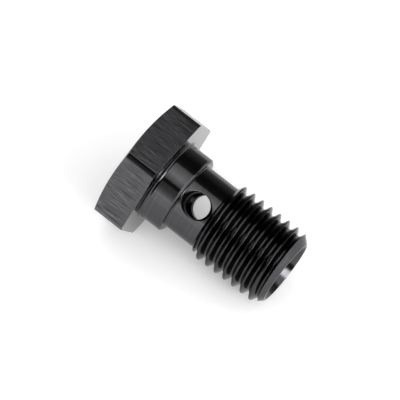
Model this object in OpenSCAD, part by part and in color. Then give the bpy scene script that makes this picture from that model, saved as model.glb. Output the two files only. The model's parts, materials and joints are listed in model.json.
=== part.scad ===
// Banjo bolt with a fine thread, turned and milled from one hexagon bar of
// aluminium and anodised. It lies on its side as it comes to rest, on the
// lower edge of one head flat and on a thread crest near the tip, so its
// axis dips towards the tip. It is modelled upright first, with the axis on
// z, the seat at z = 0 and the tip up, and then laid down.

/* [Head] */
// Width across the flats of the head
across_flats = 17.8; // [17.2:0.1:18.2]
// Diameter to which the corners of the hexagon are turned down
corner_d = 20.1; // [19.8:0.1:20.4]
// Height of the head from the seat to the crown
head_h = 5.1; // [4:0.1:8]
// Diameter of the flat crown inside the top chamfer
crown_d = 17.4; // [15:0.1:17.6]
// Slope of the top chamfer against the crown, in degrees
crown_slope = 16; // [10:1:30]

/* [Shank] */
// Length under the head, from the seat to the tip
shank_l = 20.7; // [19:0.1:24]
// Diameter of the plain shoulder that centres the washer and the fitting
shoulder_d = 12.0; // [11.9:0.01:12.0]
// Length of the shoulder
shoulder_l = 3.6; // [2.5:0.1:3.6]
// Chamfer on the free edge of the shoulder
shoulder_chamfer = 0.25; // [0.1:0.05:0.5]
// Radius in the corner between the seat and the shoulder
seat_root_r = 0.5; // [0.2:0.05:0.6]
// Radius in the corner between the shoulder and the neck
neck_root_r = 0.2; // [0.1:0.05:0.2]
// Diameter of the neck, where the fluid passes round the bolt
neck_d = 10.0; // [9.8:0.1:10.2]

/* [Thread] */
// Diameter over the crests
thread_d = 11.85; // [11.7:0.01:11.97]
// Pitch of the thread
pitch = 1.5; // [1.5:0.25:1.5]
// Width of the flat on the crest
crest_w = 0.2; // [0.14:0.01:0.26]
// Width of the flat in the root
root_w = 0.29; // [0.19:0.01:0.35]
// Distance from the seat to the end of the neck, where the thread starts
thread_start = 8.5; // [8.5:0.1:9.5]
// Length of the cone on which the thread runs out towards the neck
run_out_l = 0.8; // [0.6:0.1:2]
// Step from the neck up to the run-out cone, on the radius
run_out_step = 0.06; // [0.05:0.01:0.12]
// How far the edge of the end face lies inside the thread's root, on the radius
end_inset = 0.3; // [0.15:0.05:0.4]
// Turn of the thread about the axis, in degrees
thread_turn = 310; // [0:5:355]

/* [Passages] */
// Diameter of the blind bore along the axis
bore_d = 6.0; // [5:0.1:6.5]
// Full bore beyond the far side of the cross hole
bore_past = 0.4; // [0.2:0.1:1]
// Width of the flat land left between the countersink and that edge
mouth_land = 0.2; // [0.15:0.05:0.5]
// Full angle of the countersink, in degrees
mouth_angle = 60; // [60:5:90]
// Diameter of the hole drilled across the neck, corner to corner of the head
cross_d = 3.7; // [3:0.1:3.9]
// Distance from the seat to the centre of the cross hole
cross_pos = 6.15; // [6.1:0.05:6.2]
// Diameter of the bevelled rim of the cross hole
cross_rim_d = 4.6; // [4.0:0.05:4.6]

/* [Hidden] */

// Angles that the tools give: half of a head flat, the drill's point, the
// deburring tool for the cross hole
half_flat = 180 / 6;
drill_point = 118;
bevel_angle = 90;
crown_drop = (corner_d - crown_d) / 2 * tan(crown_slope);

// How far joined solids reach into each other, and how far a cut runs out
past = 0.02;
through = 1;

// Facets of a whole turned circle, and of a small corner radius
turned = 96;
rounded = 48;

// Thread form: a 60 degree profile with a flat on the crest and in the root
flank_angle = 30;
flank_l = (pitch - crest_w - root_w) / 2;
crest_r = thread_d / 2;
root_r = crest_r - flank_l / tan(flank_angle);
neck_r = neck_d / 2;
start_r = neck_r + run_out_step;
end_r = root_r - end_inset;

// Radius of the blank before the thread is cut, at height z
function blank_r(z) =
    min(crest_r,
        start_r + (crest_r - start_r) * (z - thread_start) / run_out_l,
        end_r + (shank_l - z));

// Stations across one pitch, as [height above the crest's middle, radius]
flank_steps = 3;
profile = concat(
    [[-crest_w / 2, crest_r]],
    [for (k = [0 : flank_steps])
        [crest_w / 2 + flank_l * k / flank_steps,
         crest_r + (root_r - crest_r) * k / flank_steps]],
    [for (k = [0 : flank_steps - 1])
        [crest_w / 2 + flank_l + root_w + flank_l * k / flank_steps,
         root_r + (crest_r - root_r) * k / flank_steps]]);
stations = len(profile);

// The thread's surface is a net: angle steps round the axis, and lines that
// climb with the thread. Lines beyond an end face are drawn in to its rim.
around = 48;
snap = 0.06;
spare_turns = 2;
first_turn = floor(thread_start / pitch) - spare_turns;
turns = ceil(shank_l / pitch) + 1 - first_turn;
lines = turns * stations;

function line_z(i, j) =
    pitch * (first_turn + floor(j / stations) + (i / around) + thread_turn / 360)
    + profile[j % stations][0];
function line_r(i, j) = min(profile[j % stations][1], blank_r(line_z(i, j)));
function at(r, i, z) = [r * cos(360 * i / around), r * sin(360 * i / around), z];

// Number of a net point; the seam joins each line to the one a turn higher
function net(i, j) = i == around ? net_point(0, j + stations) : net_point(i, j);
function net_point(i, j) =
    line_z(i, j) <= thread_start + snap ? i
    : line_z(i, j) >= shank_l - snap ? around + i
    : 2 * around + i * lines + j;

net_points = concat(
    [for (i = [0 : around - 1]) at(start_r, i, thread_start)],
    [for (i = [0 : around - 1]) at(end_r, i, shank_l)],
    [for (i = [0 : around - 1]) for (j = [0 : lines - 1])
        at(line_r(i, j), i, line_z(i, j))]);

function whole(f) = f[0] != f[1] && f[1] != f[2] && f[2] != f[0];
net_faces = concat(
    [[for (i = [0 : around - 1]) i]],
    [[for (i = [around - 1 : -1 : 0]) around + i]],
    [for (i = [0 : around - 1]) for (j = [0 : lines - stations - 2])
        for (f = [[net(i, j), net(i, j + 1), net(i + 1, j + 1)],
                  [net(i, j), net(i + 1, j + 1), net(i + 1, j)]])
            if (whole(f)) f]);

// Resting place: the dip is the least slope from the flat's lower edge to an
// edge of a crest on the underside, which is the side at angle 0
rest_z = [for (k = [first_turn : first_turn + turns]) for (e = [-1, 1])
    pitch * (k + thread_turn / 360) + e * crest_w / 2];
dip = min([for (z = rest_z) if (z > shank_l / 2 && z < shank_l)
    atan((across_flats / 2 - min(crest_r, blank_r(z))) / z)]);
head_end = -head_h * cos(dip) - crown_d / 2 * sin(dip);
tip_end = shank_l * cos(dip) + end_r * sin(dip);

module head() {
    intersection() {
        translate([0, 0, -head_h])
            linear_extrude(head_h)
                rotate(half_flat)
                    circle(d = across_flats / cos(half_flat), $fn = 6);
        rotate_extrude($fn = turned)
            polygon([
                [0, 0],
                [corner_d / 2, 0],
                [corner_d / 2, crown_drop - head_h],
                [crown_d / 2, -head_h],
                [0, -head_h]
            ]);
    }
}

// Corner radius of a turned step, filled in between a face and a wall
module root_fill(wall_r, face_z, r) {
    rotate_extrude($fn = turned)
        difference() {
            translate([wall_r - past, face_z - past])
                square([r + past, r + past]);
            translate([wall_r + r, face_z + r])
                circle(r = r, $fn = rounded);
        }
}

module shoulder() {
    translate([0, 0, -through])
        cylinder(d = shoulder_d, h = through + shoulder_l - shoulder_chamfer, $fn = turned);
    translate([0, 0, shoulder_l - shoulder_chamfer])
        cylinder(d1 = shoulder_d, d2 = shoulder_d - 2 * shoulder_chamfer,
                 h = shoulder_chamfer, $fn = turned);
    root_fill(shoulder_d / 2, 0, seat_root_r);
}

module neck() {
    cylinder(r = neck_r, h = thread_start + past, $fn = turned);
    root_fill(neck_r, shoulder_l, neck_root_r);
}

module thread() {
    polyhedron(points = net_points, faces = net_faces, convexity = 10);
}

module axial_bore() {
    far = cross_pos - cross_d / 2 - bore_past;
    mouth_r = end_r - mouth_land;
    mouth_l = (mouth_r - bore_d / 2) / tan(mouth_angle / 2);
    rotate_extrude($fn = turned)
        polygon([
            [0, far - bore_d / 2 / tan(drill_point / 2)],
            [bore_d / 2, far],
            [bore_d / 2, shank_l - mouth_l],
            [mouth_r + through * tan(mouth_angle / 2), shank_l + through],
            [0, shank_l + through]
        ]);
}

// Drilled through and bevelled on both sides of the neck; outside the neck
// the tool goes straight on, so it clears the shoulder and the thread
module cross_hole() {
    bevel_l = (cross_rim_d - cross_d) / 2 / tan(bevel_angle / 2);
    translate([0, 0, cross_pos])
        rotate([0, 90, half_flat])
            rotate_extrude($fn = turned)
                polygon([
                    [0, -neck_d],
                    [cross_rim_d / 2 + past, -neck_d],
                    [cross_rim_d / 2 + past, -neck_r - past],
                    [cross_d / 2, bevel_l - neck_r],
                    [cross_d / 2, neck_r - bevel_l],
                    [cross_rim_d / 2 + past, neck_r + past],
                    [cross_rim_d / 2 + past, neck_d],
                    [0, neck_d]
                ]);
}

module banjo_bolt() {
    translate([-(head_end + tip_end) / 2, 0, across_flats / 2 * cos(dip)])
        rotate([0, 90 + dip, 0])
            color([0.03, 0.03, 0.035])
                difference() {
                    union() {
                        head();
                        shoulder();
                        neck();
                        thread();
                    }
                    axial_bore();
                    cross_hole();
                }
}

banjo_bolt();
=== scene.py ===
import json
import math

import bpy
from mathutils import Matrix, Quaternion, Vector


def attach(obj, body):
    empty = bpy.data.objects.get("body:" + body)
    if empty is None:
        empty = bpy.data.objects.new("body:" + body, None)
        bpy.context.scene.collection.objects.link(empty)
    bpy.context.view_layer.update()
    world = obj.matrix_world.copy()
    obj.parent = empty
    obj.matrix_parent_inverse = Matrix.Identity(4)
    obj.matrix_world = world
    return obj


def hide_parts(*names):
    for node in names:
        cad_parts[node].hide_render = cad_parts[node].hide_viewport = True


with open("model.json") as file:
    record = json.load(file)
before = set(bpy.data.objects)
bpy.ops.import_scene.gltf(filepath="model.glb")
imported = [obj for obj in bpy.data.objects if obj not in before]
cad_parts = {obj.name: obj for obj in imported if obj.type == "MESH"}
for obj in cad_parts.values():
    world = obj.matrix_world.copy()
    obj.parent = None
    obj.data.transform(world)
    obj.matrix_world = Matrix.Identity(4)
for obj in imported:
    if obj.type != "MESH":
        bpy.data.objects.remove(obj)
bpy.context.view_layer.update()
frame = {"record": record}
bpy.ops.object.select_all(action="DESELECT")

# Camera. It looks down on the bolt from in front of its tip, through a long
# lens, and is rolled a little, so that the bolt runs from upper left to lower
# right with its seat face turned almost edge on.
aim = Vector((-0.00187, 0.00021, 0.009))
camera_distance = 0.4292
camera_azimuth = math.radians(31.16)
camera_elevation = math.radians(58.15)
camera_roll = math.radians(6.59)
film_width = 36
lens_length = 284.2
nearest_seen = 0.01


def towards(azimuth, elevation):
    """The direction from the bolt at an azimuth, counted from -Y to +X, and a height."""
    level = math.cos(elevation)
    return Vector((math.sin(azimuth) * level, -math.cos(azimuth) * level, math.sin(elevation)))


sight = towards(camera_azimuth, camera_elevation)
bpy.ops.object.camera_add(location=aim + camera_distance * sight)
camera = bpy.context.object
camera.rotation_mode = "QUATERNION"
camera.rotation_quaternion = sight.to_track_quat("Z", "Y") @ Quaternion((0, 0, 1), camera_roll)
camera.data.sensor_width = film_width
camera.data.lens = lens_length
camera.data.clip_start = nearest_seen
bpy.context.scene.camera = camera
bpy.context.scene.view_settings.view_transform = "Standard"

# Where the bolt lies. It is made upright, in millimetres, with its axis on z
# and the seat under the head at z = 0, and is laid down at the end. The mounts
# of the part give the axis and the seat's centre.
MM = 0.001
mounts = {mount["name"]: mount for mount in frame["record"]["mounts"]}
axis = Vector(mounts["shoulder"]["axis"]).normalized()
on_axis = Vector(mounts["shoulder"]["pos_m"])
seat_centre = on_axis + axis * axis.dot(Vector(mounts["seat"]["pos_m"]) - on_axis)
lying_turn = math.atan2(axis.x, axis.z)

# Black anodised skin. The aluminium is turned and milled bright, then dyed black in the anodising
# bath and sealed: a dark, glossy skin that shows every tool mark under it and wears a little
# lighter on the edges. That lighter edge is also a painted highlight: the glints along the sharp
# edges are drawn into the colour.
dyed_black = (0.066, 0.066, 0.069)
uneven_roughness = 0.05
least_dye = 0.1
wear_and_glint_width = 0.05
edge_is_flat = 0.998
edge_is_sharp = 0.95
turned_drift = 0.15
flat_distance = 9.0
brushed_length = 32
brushed_lean = math.radians(1)


def join(tree, out, into):
    tree.links.new(out, into)


def node(tree, kind, **settings):
    """A new node; each setting is one of its inputs or else one of its options."""
    made = tree.nodes.new(kind)
    for name, value in settings.items():
        if name in made.inputs:
            made.inputs[name].default_value = value
        else:
            setattr(made, name, value)
    return made


def maths(tree, operation, *terms):
    """A sum of sockets and numbers; its result is a socket."""
    made = node(tree, "ShaderNodeMath", operation=operation)
    for socket, term in zip(made.inputs, terms):
        if isinstance(term, bpy.types.NodeSocket):
            join(tree, term, socket)
        else:
            socket.default_value = term
    return made.outputs[0]


def new_group(name, inputs, outputs):
    """An empty node group with these named sockets, each (name, kind, value) or (name, kind)."""
    group = bpy.data.node_groups.new(name, "ShaderNodeTree")
    for socket, kind, value in inputs:
        made = group.interface.new_socket(socket, in_out="INPUT", socket_type="NodeSocket" + kind)
        if value is not None:
            made.default_value = value
    for socket, kind in outputs:
        group.interface.new_socket(socket, in_out="OUTPUT", socket_type="NodeSocket" + kind)
    return group, node(group, "NodeGroupInput"), node(group, "NodeGroupOutput")


def bolt_place_group():
    """The place on the upright bolt in millimetres, and laid out along each tool's lines."""
    group, start, end = new_group(
        "bolt_place",
        [("Position", "Vector", None)],
        [("Place", "Vector"), ("Turned", "Vector"), ("Brushed", "Vector")],
    )
    upright = node(group, "ShaderNodeMapping", vector_type="TEXTURE")
    upright.inputs["Location"].default_value = seat_centre
    upright.inputs["Rotation"].default_value = (0, lying_turn, 0)
    upright.inputs["Scale"].default_value = (MM, MM, MM)
    join(group, start.outputs["Position"], upright.inputs["Vector"])
    join(group, upright.outputs[0], end.inputs["Place"])
    parts = node(group, "ShaderNodeSeparateXYZ")
    join(group, upright.outputs[0], parts.inputs[0])
    x, y, along = parts.outputs
    square = maths(group, "ADD", maths(group, "MULTIPLY", x, x), maths(group, "MULTIPLY", y, y))
    angle = maths(group, "ARCTAN2", y, x)

    turned_lines = node(group, "ShaderNodeCombineXYZ")
    join(group, along, turned_lines.inputs["X"])
    join(group, maths(group, "SQRT", square), turned_lines.inputs["Y"])
    join(group, maths(group, "MULTIPLY", angle, turned_drift), turned_lines.inputs["Z"])
    join(group, turned_lines.outputs[0], end.inputs["Turned"])

    across_flat = node(group, "ShaderNodeCombineXYZ")
    join(group, maths(group, "MULTIPLY", angle, flat_distance), across_flat.inputs["X"])
    join(group, along, across_flat.inputs["Y"])
    brushed_lines = node(group, "ShaderNodeMapping", vector_type="TEXTURE")
    brushed_lines.inputs["Rotation"].default_value = (0, 0, brushed_lean)
    brushed_lines.inputs["Scale"].default_value = (1, brushed_length, 1)
    join(group, across_flat.outputs[0], brushed_lines.inputs["Vector"])
    join(group, brushed_lines.outputs[0], end.inputs["Brushed"])
    return group


def tool_marks_group():
    """Fine lines left by a tool: height varies across the lines and hardly along them."""
    group, start, end = new_group(
        "tool_marks",
        [
            ("Across", "Vector", None),
            ("Coarse", "Float", 3.0),
            ("Fine", "Float", 12.0),
            ("Coarse Depth", "Float", 0.004),
            ("Fine Depth", "Float", 0.001),
        ],
        [("Height", "Float"), ("Tone", "Float")],
    )
    heights = []
    for size in ("Coarse", "Fine"):
        noise = node(group, "ShaderNodeTexNoise", Detail=2.0, Roughness=0.6)
        join(group, start.outputs["Across"], noise.inputs["Vector"])
        join(group, start.outputs[size], noise.inputs["Scale"])
        heights.append(maths(group, "MULTIPLY", noise.outputs[0], start.outputs[size + " Depth"]))
        if size == "Coarse":
            join(group, noise.outputs[0], end.inputs["Tone"])
    join(group, maths(group, "ADD", *heights), end.inputs["Height"])
    return group


def wear_and_glint_edge_group():
    """Two masks: sharp edges, where the skin is thinnest and where the colour also carries a
    painted highlight, broken up by patches, and fine specks.
    """
    group, start, end = new_group(
        "worn_edge",
        [("Place", "Vector", None)],
        [("Edge", "Float"), ("Speck", "Float")],
    )
    rounded = node(group, "ShaderNodeBevel", samples=4, Radius=wear_and_glint_width * MM)
    plain = node(group, "ShaderNodeNewGeometry")
    agreement = node(group, "ShaderNodeVectorMath", operation="DOT_PRODUCT")
    join(group, rounded.outputs[0], agreement.inputs[0])
    join(group, plain.outputs["Normal"], agreement.inputs[1])
    sharp = node(group, "ShaderNodeMapRange")
    sharp.inputs["From Min"].default_value = edge_is_flat
    sharp.inputs["From Max"].default_value = edge_is_sharp
    sharp.inputs["To Min"].default_value = 0.0
    sharp.inputs["To Max"].default_value = 1.0
    join(group, agreement.outputs["Value"], sharp.inputs["Value"])
    patches = node(group, "ShaderNodeTexNoise", Scale=2.5, Detail=3.0)
    join(group, start.outputs["Place"], patches.inputs["Vector"])
    join(group, maths(group, "MULTIPLY", sharp.outputs[0], patches.outputs[0]), end.inputs["Edge"])
    specks = node(group, "ShaderNodeTexNoise", Scale=6.0, Detail=4.0)
    join(group, start.outputs["Place"], specks.inputs["Vector"])
    join(group, specks.outputs[0], end.inputs["Speck"])
    return group


bolt_place = bolt_place_group()
tool_marks = tool_marks_group()
worn_edge = wear_and_glint_edge_group()


def anodised(name, lines, coarse, fine, coarse_depth, fine_depth, roughness,
             dye=1.0, streak=0.0, glancing=1.0, wear_and_glint=0.3):
    """A finish in the black skin.

    lines is the way that the tool's marks run, and coarse and fine are how close its broad and its
    hair-thin lines lie. dye is how light the black is, streak how much that changes from line to
    line, glancing how much the skin mirrors when it is seen edge on, and the last one how light the
    metal is painted on its edges, which is partly wear and partly a painted highlight.
    """
    material = bpy.data.materials.new(name)
    material.use_nodes = True
    tree = material.node_tree
    shader = tree.nodes["Principled BSDF"]
    shader.inputs["Metallic"].default_value = 1.0
    shader.inputs["Specular Tint"].default_value = (glancing, glancing, glancing, 1)
    position = node(tree, "ShaderNodeTexCoord")
    place = node(tree, "ShaderNodeGroup", node_tree=bolt_place)
    join(tree, position.outputs["Object"], place.inputs["Position"])

    marks = node(tree, "ShaderNodeGroup", node_tree=tool_marks)
    marks.inputs["Coarse"].default_value = coarse
    marks.inputs["Fine"].default_value = fine
    marks.inputs["Coarse Depth"].default_value = coarse_depth
    marks.inputs["Fine Depth"].default_value = fine_depth
    join(tree, place.outputs[lines], marks.inputs["Across"])
    bump = node(tree, "ShaderNodeBump", Distance=MM)
    join(tree, marks.outputs["Height"], bump.inputs["Height"])
    join(tree, bump.outputs[0], shader.inputs["Normal"])

    edge = node(tree, "ShaderNodeGroup", node_tree=worn_edge)
    join(tree, place.outputs["Place"], edge.inputs["Place"])
    smoothest = roughness - uneven_roughness / 2
    uneven = maths(tree, "MULTIPLY_ADD", marks.outputs["Tone"], uneven_roughness, smoothest)
    specked = maths(tree, "MULTIPLY_ADD", edge.outputs["Speck"], uneven_roughness, uneven)
    join(tree, specked, shader.inputs["Roughness"])

    darkest = (1 - streak / 2) * dye
    shade = maths(tree, "MULTIPLY_ADD", marks.outputs["Tone"], streak * dye, darkest)
    skin = node(tree, "ShaderNodeVectorMath", operation="SCALE")
    skin.inputs[0].default_value = dyed_black
    join(tree, maths(tree, "MAXIMUM", shade, least_dye * dye), skin.inputs["Scale"])
    # On sharp edges the skin is mixed towards a lighter colour: partly wear, partly a painted
    # highlight that draws the glints along the edges.
    colour = node(tree, "ShaderNodeMix", data_type="RGBA")
    skin_side, wear_and_glint_side = colour.inputs[6], colour.inputs[7]
    wear_and_glint_side.default_value = (wear_and_glint, wear_and_glint, wear_and_glint, 1)
    join(tree, skin.outputs[0], skin_side)
    join(tree, edge.outputs["Edge"], colour.inputs[0])
    join(tree, colour.outputs[2], shader.inputs["Base Color"])
    return material


# Head. A hexagon bar with its corners turned down and a shallow chamfer
# turned on the crown, parted square under the head. The flats are brushed
# along the axis, the crown and the seat are faced, and the edges are broken.
across_flats = 17.8
corner_d = 20.1
head_h = 5.1
crown_d = 17.4
crown_slope = math.radians(16)
half_flat = math.radians(30)
edge_break = 0.05
edge_steps = 3
sharp_edge = math.radians(15)
facets_round = 384
beyond = 1.0

faced_finish = anodised(
    "anodised_faced", "Turned", coarse=3.0, fine=14.0, coarse_depth=0.002, fine_depth=0.0006,
    roughness=0.11, streak=0.9,
)
brushed_finish = anodised(
    "anodised_brushed", "Brushed", coarse=9.0, fine=20.0, coarse_depth=0.004, fine_depth=0.002,
    roughness=0.24, dye=1.24, streak=3.9,
)


def select_only(piece):
    bpy.ops.object.select_all(action="DESELECT")
    piece.select_set(True)
    bpy.context.view_layer.objects.active = piece


def eased(corners, steps=3):
    """An outline's (radius, height) points, with each corner's own rounding drawn as an arc."""
    points = []
    for i, (r, z, ease) in enumerate(corners):
        if not ease:
            points.append((r, z))
            continue
        here = Vector((r, z))
        back = (Vector(corners[i - 1][:2]) - here).normalized()
        on = (Vector(corners[i + 1][:2]) - here).normalized()
        half = back.angle(on) / 2
        middle = here + (back + on).normalized() * (ease / math.sin(half))
        start = here + back * (ease / math.tan(half)) - middle
        swing = start.angle_signed(here + on * (ease / math.tan(half)) - middle)
        for k in range(steps + 1):
            turn = -swing * k / steps
            points.append((
                middle.x + start.x * math.cos(turn) - start.y * math.sin(turn),
                middle.y + start.x * math.sin(turn) + start.y * math.cos(turn),
            ))
    return points


def turned(name, outline, finish):
    """A turned solid: a disc that is extruded and resized from each radius to the next."""
    r, z = outline[0]
    bpy.ops.mesh.primitive_circle_add(
        vertices=facets_round, radius=r, fill_type="NGON", location=(0, 0, z),
    )
    piece = bpy.context.object
    piece.name = name
    bpy.ops.object.transform_apply(location=True, rotation=False, scale=False)
    bpy.ops.object.mode_set(mode="EDIT")
    for next_r, next_z in outline[1:]:
        bpy.ops.mesh.extrude_region_move(TRANSFORM_OT_translate={"value": (0, 0, next_z - z)})
        bpy.ops.transform.resize(value=(next_r / r, next_r / r, 1), center_override=(0, 0, 0))
        r, z = next_r, next_z
    bpy.ops.mesh.select_all(action="SELECT")
    bpy.ops.mesh.remove_doubles(threshold=0.0001)
    bpy.ops.mesh.normals_make_consistent(inside=False)
    bpy.ops.object.mode_set(mode="OBJECT")
    piece.data.materials.append(finish)
    return piece


def work(piece, tool, operation):
    """Joins the tool to the piece, cuts it away, or keeps what both share."""
    select_only(piece)
    bpy.ops.object.modifier_add(type="BOOLEAN")
    modifier = piece.modifiers[-1]
    modifier.object = tool
    modifier.operation = operation
    modifier.solver = "EXACT"
    modifier.material_mode = "TRANSFER"
    bpy.ops.object.modifier_apply(modifier=modifier.name)
    bpy.data.objects.remove(tool)


crown_drop = (corner_d - crown_d) / 2 * math.tan(crown_slope)
bolt = turned(
    "bolt",
    [
        (crown_d / 2, -head_h),
        (corner_d / 2, crown_drop - head_h),
        (corner_d / 2, 0),
    ],
    faced_finish,
)
bpy.ops.mesh.primitive_cylinder_add(
    vertices=6,
    radius=across_flats / 2 / math.cos(half_flat),
    depth=head_h + 2 * beyond,
    location=(0, 0, -head_h / 2),
)
hexagon = bpy.context.object
bpy.ops.object.transform_apply(location=True, rotation=False, scale=False)
hexagon.data.materials.append(brushed_finish)
work(bolt, hexagon, "INTERSECT")
select_only(bolt)
bpy.ops.object.modifier_add(type="BEVEL")
broken = bolt.modifiers[-1]
broken.width = edge_break
broken.segments = edge_steps
broken.limit_method = "ANGLE"
broken.angle_limit = sharp_edge
bpy.ops.object.modifier_apply(modifier=broken.name)

# Shank. Turned with the head from the same bar: a plain shoulder that centres
# the washer and the fitting, a thinner neck that the fluid passes round, and
# the blank of the thread, which rises from the neck on a short cone.
shoulder_r = mounts["shoulder"]["dims"]["r_mm"]
shoulder_l = 3.6
shoulder_chamfer = 0.25
seat_root_r = 0.5
neck_root_r = 0.2
neck_r = 5.0
thread_start = 8.5
run_out_l = 0.8
run_out_step = 0.06
crest_r = 11.85 / 2
shank_l = 20.7
end_r = 4.75
end_land = 0.5
into_head = 0.1
small_ease = 0.05

turned_finish = anodised(
    "anodised_turned", "Turned", coarse=3.0, fine=14.0, coarse_depth=0.0016, fine_depth=0.0004,
    roughness=0.11, streak=0.7, glancing=0.72,
)
shank = turned(
    "shank",
    eased([
        (shoulder_r + seat_root_r + beyond, -beyond, 0),
        (shoulder_r + seat_root_r + into_head, -into_head, 0),
        (shoulder_r + seat_root_r, 0, 0),
        (shoulder_r, 0, seat_root_r),
        (shoulder_r, shoulder_l - shoulder_chamfer, small_ease),
        (shoulder_r - shoulder_chamfer, shoulder_l, small_ease),
        (neck_r, shoulder_l, neck_root_r),
        (neck_r, thread_start, 0),
        (neck_r + run_out_step, thread_start + run_out_step / 3, 0),
        (crest_r, thread_start + run_out_l, 0),
        (crest_r, shank_l - (crest_r - end_r), 0),
        (end_r, shank_l, small_ease),
        (end_r - end_land, shank_l, 0),
    ], steps=5),
    turned_finish,
)
work(bolt, shank, "UNION")

# Bore and cross hole. The bore is drilled up the axis from the tip to just
# past the cross hole, and its mouth is countersunk. The cross hole goes
# through the neck from side to side, and both of its rims are bevelled.
bore_r = mounts["fluid_bore"]["dims"]["r_mm"]
bore_past = 0.4
mouth_land = 0.2
mouth_half = math.radians(30)
drill_half = math.radians(59)
cross_r = 1.85
cross_rim_r = 2.3
cross_pos = 6.15
clear = 0.02

bored_finish = anodised(
    "anodised_bored", "Turned", coarse=4.0, fine=12.0, coarse_depth=0.004, fine_depth=0.0015,
    roughness=0.16, streak=0.8,
)
# The cross hole's skin is painted near black, a painted shade that stands in for the dark
# reflections and self shadow in its bevelled rims, and it mirrors little when seen edge on; its
# sharp edges are painted fully light, a painted highlight that draws the bright arc round the hole.
drilled_painted_shade_finish = anodised(
    "anodised_drilled", "Turned", coarse=4.0, fine=12.0, coarse_depth=0.005, fine_depth=0.0015,
    roughness=0.22, dye=0.12, glancing=0.2, wear_and_glint=1.0,
)
bore_end = cross_pos - cross_r - bore_past
mouth_r = end_r - mouth_land
mouth_l = (mouth_r - bore_r) / math.tan(mouth_half)
bore = turned(
    "bore",
    eased([
        (mouth_r + beyond * math.tan(mouth_half), shank_l + beyond, 0),
        (bore_r, shank_l - mouth_l, small_ease),
        (bore_r, bore_end, 0),
        (0, bore_end - bore_r / math.tan(drill_half), 0),
    ]),
    bored_finish,
)
work(bolt, bore, "DIFFERENCE")

bevel_l = cross_rim_r - cross_r
cross_hole = turned(
    "cross_hole",
    eased([
        (cross_rim_r + clear, -neck_r - 2 * beyond, 0),
        (cross_rim_r + clear, -neck_r - clear, 0),
        (cross_r, bevel_l - neck_r, clear),
        (cross_r, neck_r - bevel_l, clear),
        (cross_rim_r + clear, neck_r + clear, 0),
        (cross_rim_r + clear, neck_r + 2 * beyond, 0),
    ]),
    drilled_painted_shade_finish,
)
cross_hole.rotation_euler = (0, math.pi / 2, half_flat)
cross_hole.location = (0, 0, cross_pos)
select_only(cross_hole)
bpy.ops.object.transform_apply(location=True, rotation=True, scale=False)
work(bolt, cross_hole, "DIFFERENCE")

# Thread. A fine right-hand thread, cut on the blank with a 60 degree tool, so
# its crests are left narrow and slightly rounded. It runs out on the cone at
# the neck and on the chamfer at the tip.
pitch = 1.5
crest_w = 0.2
root_w = 0.29
crest_ease = 0.08
root_ease = 0.16
flank_angle = math.radians(30)
thread_turn = math.radians(310)
steps_a_turn = 144
first_turn = 4
turns = 12

thread_finish = anodised(
    "anodised_thread", "Turned", coarse=2.0, fine=9.0, coarse_depth=0.001, fine_depth=0.0003,
    roughness=0.1, dye=0.6, glancing=0.75,
)
flank_l = (pitch - crest_w - root_w) / 2
root_r = crest_r - flank_l / math.tan(flank_angle)
middle = pitch * (first_turn + thread_turn / (2 * math.pi))
section = eased([
    (root_r, middle - pitch / 2, 0),
    (root_r, middle - crest_w / 2 - flank_l, root_ease),
    (crest_r, middle - crest_w / 2, crest_ease),
    (crest_r, middle + crest_w / 2, crest_ease),
    (root_r, middle + crest_w / 2 + flank_l, root_ease),
    (root_r, middle + pitch / 2, 0),
])
bpy.ops.mesh.primitive_plane_add(size=1, location=(section[0][0], 0, section[0][1]))
thread = bpy.context.object
thread.name = "thread"
bpy.ops.object.transform_apply(location=True, rotation=False, scale=False)
bpy.ops.object.mode_set(mode="EDIT")
bpy.ops.mesh.merge(type="CENTER")
for (r, z), (next_r, next_z) in zip(section, section[1:]):
    bpy.ops.mesh.extrude_region_move(TRANSFORM_OT_translate={"value": (next_r - r, 0, next_z - z)})
bpy.ops.object.mode_set(mode="OBJECT")
bpy.ops.object.modifier_add(type="SCREW")
helix = thread.modifiers[-1]
helix.angle = 2 * math.pi
helix.screw_offset = pitch
helix.iterations = turns
helix.steps = steps_a_turn
helix.render_steps = steps_a_turn
bpy.ops.object.modifier_apply(modifier=helix.name)
bpy.ops.object.mode_set(mode="EDIT")
bpy.ops.mesh.select_all(action="SELECT")
bpy.ops.mesh.remove_doubles(threshold=0.001)
bpy.ops.object.mode_set(mode="OBJECT")

# Each end of the thread's solid is drawn in to a point and so closed.
half_way = middle + pitch * turns / 2
for low_end in (True, False):
    bpy.ops.object.mode_set(mode="EDIT")
    bpy.ops.mesh.select_mode(type="EDGE")
    bpy.ops.mesh.select_all(action="DESELECT")
    bpy.ops.mesh.select_non_manifold()
    bpy.ops.object.mode_set(mode="OBJECT")
    for edge in thread.data.edges:
        height = thread.data.vertices[edge.vertices[0]].co.z
        edge.select = edge.select and (height < half_way) == low_end
    bpy.ops.object.mode_set(mode="EDIT")
    bpy.ops.mesh.extrude_edges_move()
    bpy.ops.mesh.merge(type="CENTER")
    bpy.ops.object.mode_set(mode="OBJECT")
bpy.ops.object.mode_set(mode="EDIT")
bpy.ops.mesh.select_all(action="SELECT")
bpy.ops.mesh.normals_make_consistent(inside=False)
bpy.ops.object.mode_set(mode="OBJECT")
thread.data.materials.append(thread_finish)

# Below the thread nothing is cut: a wide disc there keeps the head and the
# neck, and the bolt is what it shares with the disc and the thread's solid.
uncut_end = thread_start + run_out_step / 6
uncut = turned("uncut", [(corner_d, -head_h - beyond), (corner_d, uncut_end)], turned_finish)
work(thread, uncut, "UNION")
work(bolt, thread, "INTERSECT")

# The finished bolt is laid on the floor, on the edge of a flat and a crest of
# the thread, and stands for the solid of the same name.
same_place = 0.0005
widest_gap = 12
smooth_under = math.radians(25)

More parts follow.
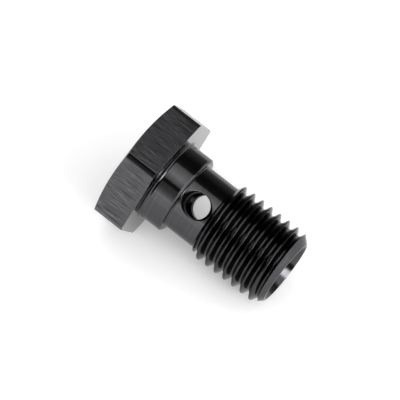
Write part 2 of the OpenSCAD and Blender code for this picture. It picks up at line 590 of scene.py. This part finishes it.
select_only(bolt)
bpy.ops.object.mode_set(mode="EDIT")
bpy.ops.mesh.select_all(action="SELECT")
bpy.ops.mesh.remove_doubles(threshold=same_place)
bpy.ops.mesh.dissolve_degenerate(threshold=same_place)
bpy.ops.mesh.fill_holes(sides=widest_gap)
bpy.ops.mesh.normals_make_consistent(inside=False)
bpy.ops.object.mode_set(mode="OBJECT")
bolt.scale = (MM, MM, MM)
bolt.rotation_euler = (0, lying_turn, 0)
bolt.location = seat_centre
bpy.ops.object.transform_apply(location=True, rotation=True, scale=True)
bpy.ops.object.shade_smooth_by_angle(angle=smooth_under)
bpy.ops.object.modifier_add(type="WEIGHTED_NORMAL")
weighted = bolt.modifiers[-1]
weighted.keep_sharp = True
bpy.ops.object.modifier_apply(modifier=weighted.name)
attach(bolt, "root")
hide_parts("banjo_bolt")

# Floor. A plain white sheet that takes the bolt's soft shadow. It glows a
# little for the rays that see it, in the picture or in a reflection, so that
# it is white away from the bolt.
floor_r = 1.2
floor_white = (1, 1, 1, 1)
floor_roughness = 0.9
floor_glow = 0.13

bpy.ops.mesh.primitive_circle_add(
    vertices=96, radius=floor_r, fill_type="NGON", location=(0, 0, 0),
)
floor = bpy.context.object
floor.name = "floor"
sheet = bpy.data.materials.new("white_sheet")
sheet.use_nodes = True
tree = sheet.node_tree
shader = tree.nodes["Principled BSDF"]
shader.inputs["Base Color"].default_value = floor_white
shader.inputs["Roughness"].default_value = floor_roughness
shader.inputs["Specular IOR Level"].default_value = 0
shader.inputs["Emission Color"].default_value = floor_white
ray = node(tree, "ShaderNodeLightPath")
seen = maths(tree, "MAXIMUM", ray.outputs["Is Camera Ray"], ray.outputs["Is Glossy Ray"])
seen = maths(tree, "MAXIMUM", seen, ray.outputs["Is Transmission Ray"])
join(tree, maths(tree, "MULTIPLY", seen, floor_glow), shader.inputs["Emission Strength"])
floor.data.materials.append(sheet)

# Studio. An even white room lights the floor, and soft boxes of graded light
# hang over the bolt and round it. A dark cloth close behind it and a dark tent
# that only reflections see leave black between the bands of light on the skin.
lit_point = Vector((0, 0, 0.009))
room_white = (1, 1, 1, 1)
room_strength = 1
tent_r = 1.1
tent_dark = 0.012

world = bpy.data.worlds.new("studio")
bpy.context.scene.world = world
world.use_nodes = True
room = world.node_tree.nodes["Background"]
room.inputs["Color"].default_value = room_white
room.inputs["Strength"].default_value = room_strength


def glowing(name, levels):
    """A glow graded up a panel of unit size; levels are (elevation, brightness), low to high."""
    material = bpy.data.materials.new(name)
    material.use_nodes = True
    tree = material.node_tree
    tree.nodes.clear()
    glow = node(tree, "ShaderNodeEmission")
    surface = node(tree, "ShaderNodeOutputMaterial")
    join(tree, glow.outputs[0], surface.inputs["Surface"])
    position = node(tree, "ShaderNodeTexCoord")
    place = node(tree, "ShaderNodeSeparateXYZ")
    join(tree, position.outputs["Object"], place.inputs[0])
    low, high = levels[0][0], levels[-1][0]
    centre = (low + high) / 2
    reach = math.tan(math.radians((high - low) / 2))
    brightest = max(level for _, level in levels)
    ramp = node(tree, "ShaderNodeValToRGB")
    stops = ramp.color_ramp.elements
    for k, (elevation, level) in enumerate(levels):
        up = 0.5 + math.tan(math.radians(elevation - centre)) / reach / 2
        stop = stops[k] if k < 2 else stops.new(up)
        stop.position = up
        grey = level / brightest
        stop.color = (grey, grey, grey, 1)
    join(tree, maths(tree, "ADD", place.outputs["Y"], 0.5), ramp.inputs[0])
    join(tree, maths(tree, "MULTIPLY", ramp.outputs[0], brightest), glow.inputs["Strength"])
    return material


def soft_box(name, azimuth, distance, width, levels, lights_floor=True):
    """A panel that faces the bolt, width degrees wide, graded from its low edge to its high one."""
    low, high = levels[0][0], levels[-1][0]
    centre = math.radians((low + high) / 2)
    turn = math.radians(azimuth)
    bpy.ops.mesh.primitive_plane_add(
        size=1,
        location=lit_point + towards(turn, centre) * distance,
        rotation=(math.pi / 2 - centre, 0, turn),
    )
    panel = bpy.context.object
    panel.name = name
    panel.scale = (
        2 * distance * math.tan(math.radians(width / 2)),
        2 * distance * math.tan(math.radians((high - low) / 2)),
        1,
    )
    panel.data.materials.append(glowing(name, levels))
    panel.visible_camera = False
    panel.visible_diffuse = lights_floor
    panel.visible_shadow = False


soft_box("over_box", azimuth=0, distance=0.6, width=56, lights_floor=False, levels=[
    (67, 0.75), (71, 0.95), (79, 1.4), (86, 2.05), (94, 1.7), (103, 1.3), (111, 1.0), (116.5, 0.9),
])
soft_box("front_box", azimuth=-5, distance=0.55, width=30, levels=[
    (-4, 1.5), (8, 1.7), (20.5, 1.7), (22, 2.3), (24, 2.3), (25.5, 1.45), (31, 1.05), (39, 0.57),
    (47, 0.38), (54, 0.42), (56, 0.24), (58, 0.05), (62, 0.02),
])
soft_box("right_box", azimuth=105, distance=0.5, width=50, levels=[(-4, 1.7), (31, 1.7)])
soft_box("hot_lamp", azimuth=74, distance=0.45, width=20, levels=[(14, 10.0), (40, 10.0)])
soft_box("left_box", azimuth=-95, distance=0.5, width=60, lights_floor=False, levels=[
    (2, 0.35), (25, 0.9), (50, 0.5),
])
soft_box("dark_back", azimuth=180, distance=0.05, width=120, lights_floor=False, levels=[
    (-10, 0.6), (-2, 0.36), (6, 0.26), (14, 0.19), (21, 0.13), (30, 0.06), (37, 0.04), (53, 0.045),
    (61, 0.08),
])

bpy.ops.mesh.primitive_uv_sphere_add(
    segments=48, ring_count=24, radius=tent_r, location=(0, 0, 0),
)
tent = bpy.context.object
tent.name = "dark_tent"
tent.data.materials.append(glowing("dark_tent", [(-90, tent_dark), (90, tent_dark)]))
tent.visible_camera = False
tent.visible_diffuse = False
tent.visible_shadow = False
